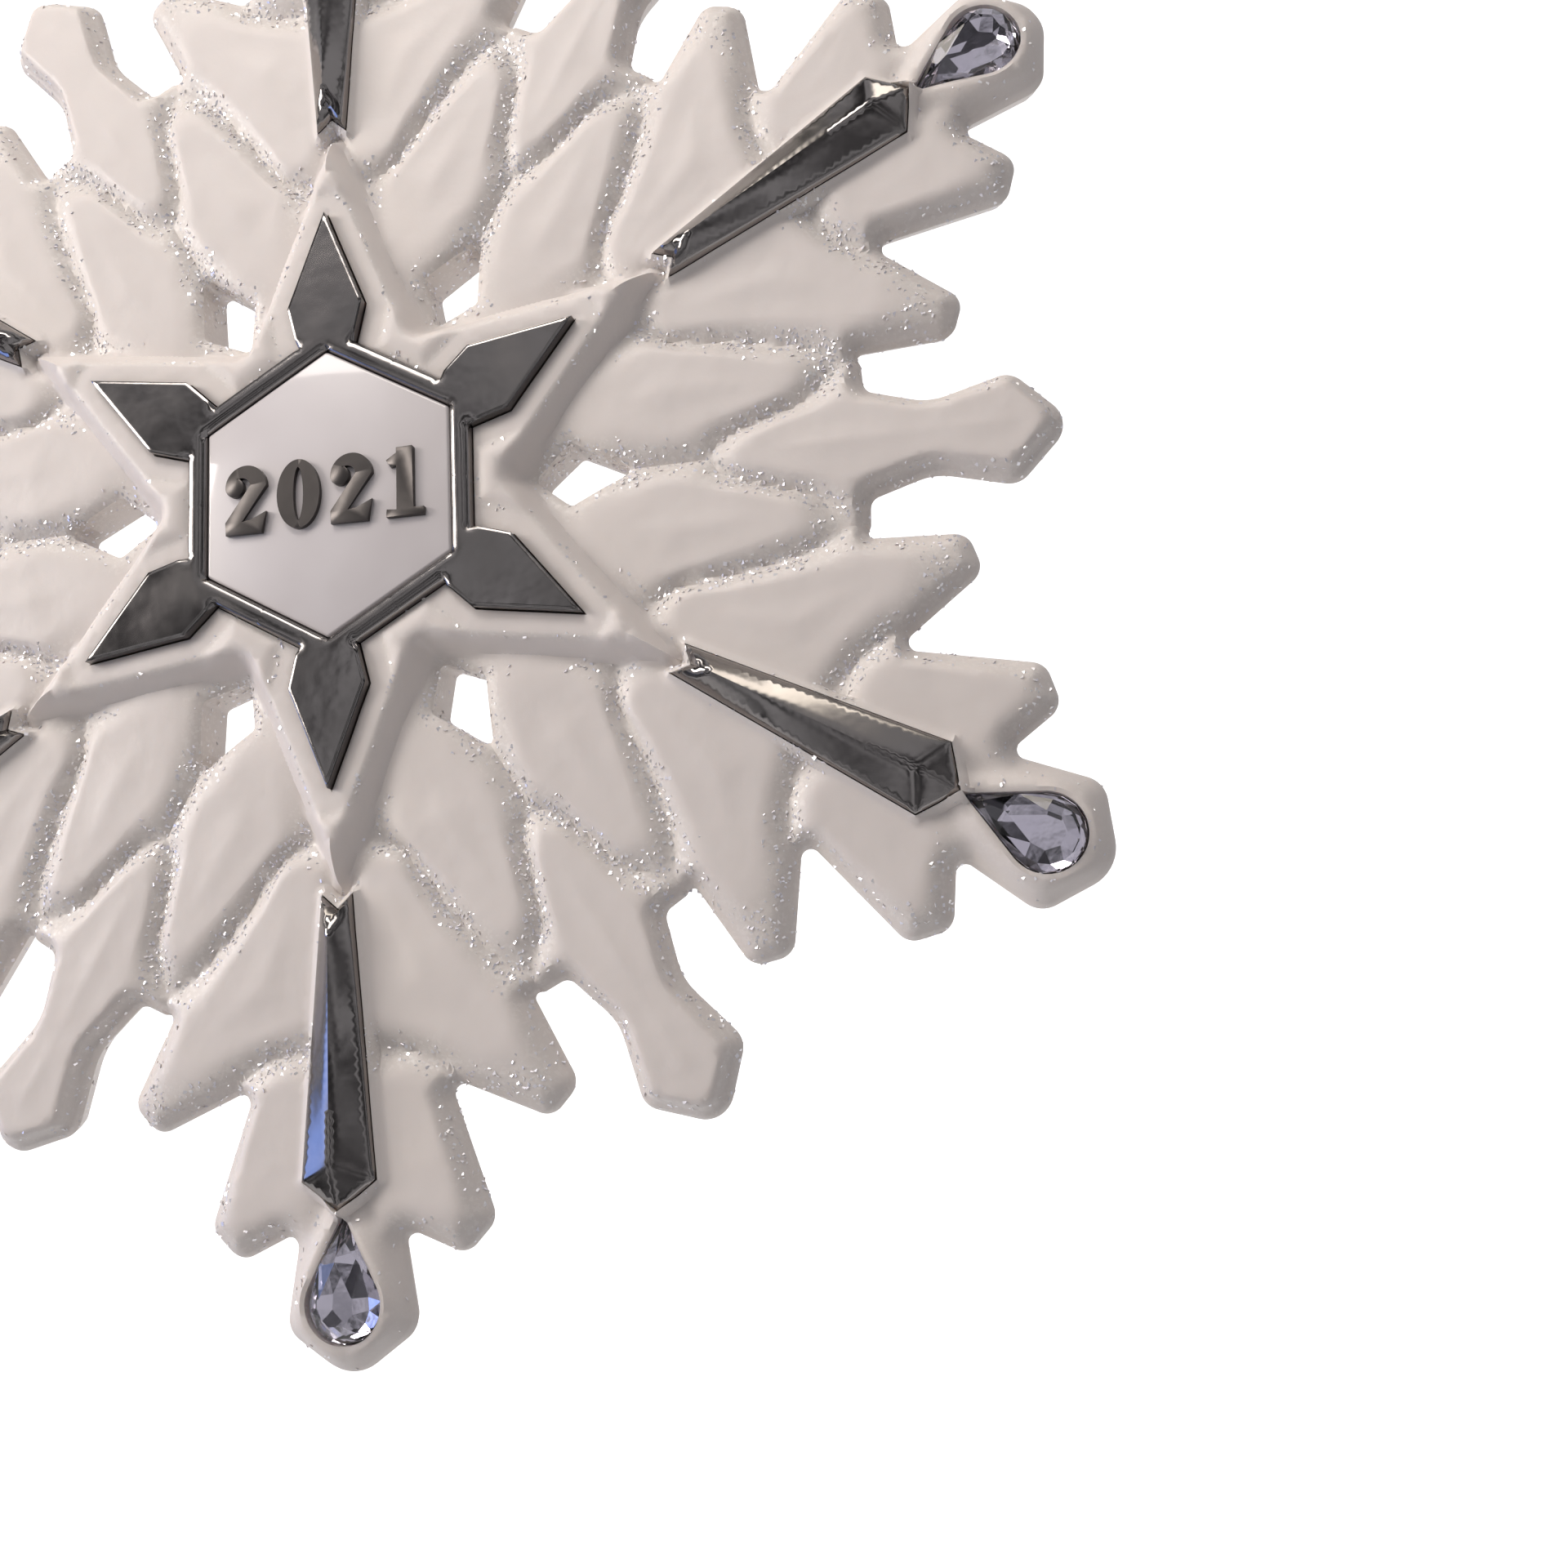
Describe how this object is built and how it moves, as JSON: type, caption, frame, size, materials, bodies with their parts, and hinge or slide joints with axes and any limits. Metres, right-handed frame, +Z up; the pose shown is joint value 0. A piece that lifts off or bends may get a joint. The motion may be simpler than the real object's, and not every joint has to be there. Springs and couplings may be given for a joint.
{
  "type": "hanging snowflake ornament",
  "caption": "Flat porcelain snowflake star with silver spear inlays, drop crystals and a hexagonal date tile, swinging from a metal ring.",
  "frame": {"origin": "inside of the top of the hang ring, where a hook or a ribbon bears", "axes": "+Z up along the top arm, -Y out of the decorated front, +Y out of the flat back, +X to the right seen from the front"},
  "size_m": [0.097, 0.011, 0.1247],
  "materials": {
    "bisque": "unglazed white porcelain with mica glitter in the hollows",
    "glazed_tile": "glazed white porcelain",
    "silver": "dark polished silver",
    "numeral_silver": "dark polished silver",
    "crystal": "clear cut crystal",
    "foil": "mirror foil",
    "ring_metal": "bright silver wire"
  },
  "bodies": {
    "hanger": {"hang_ring": "ring_metal"},
    "snowflake": {"porcelain_body": "bisque", "date_tile": "glazed_tile", "silver_star_frame": "silver", "spear_inlay_1": "silver", "spear_inlay_2": "silver", "spear_inlay_3": "silver", "spear_inlay_4": "silver", "spear_inlay_5": "silver", "spear_inlay_6": "silver", "numeral_two_left": "numeral_silver", "numeral_zero": "numeral_silver", "numeral_two_right": "numeral_silver", "numeral_one": "numeral_silver", "crystal_1": "crystal", "crystal_2": "crystal", "crystal_3": "crystal", "crystal_4": "crystal", "crystal_5": "crystal", "crystal_6": "crystal", "crystal_foil_1": "foil", "crystal_foil_2": "foil", "crystal_foil_3": "foil", "crystal_foil_4": "foil", "crystal_foil_5": "foil", "crystal_foil_6": "foil"}
  },
  "joints": [
    {"name": "swing", "type": "hinge", "parent": "hanger", "child": "snowflake", "pos_m": [0, 0, -0.0076], "axis": [1, 0, 0], "range_deg": [-75, 75]}
  ]
}
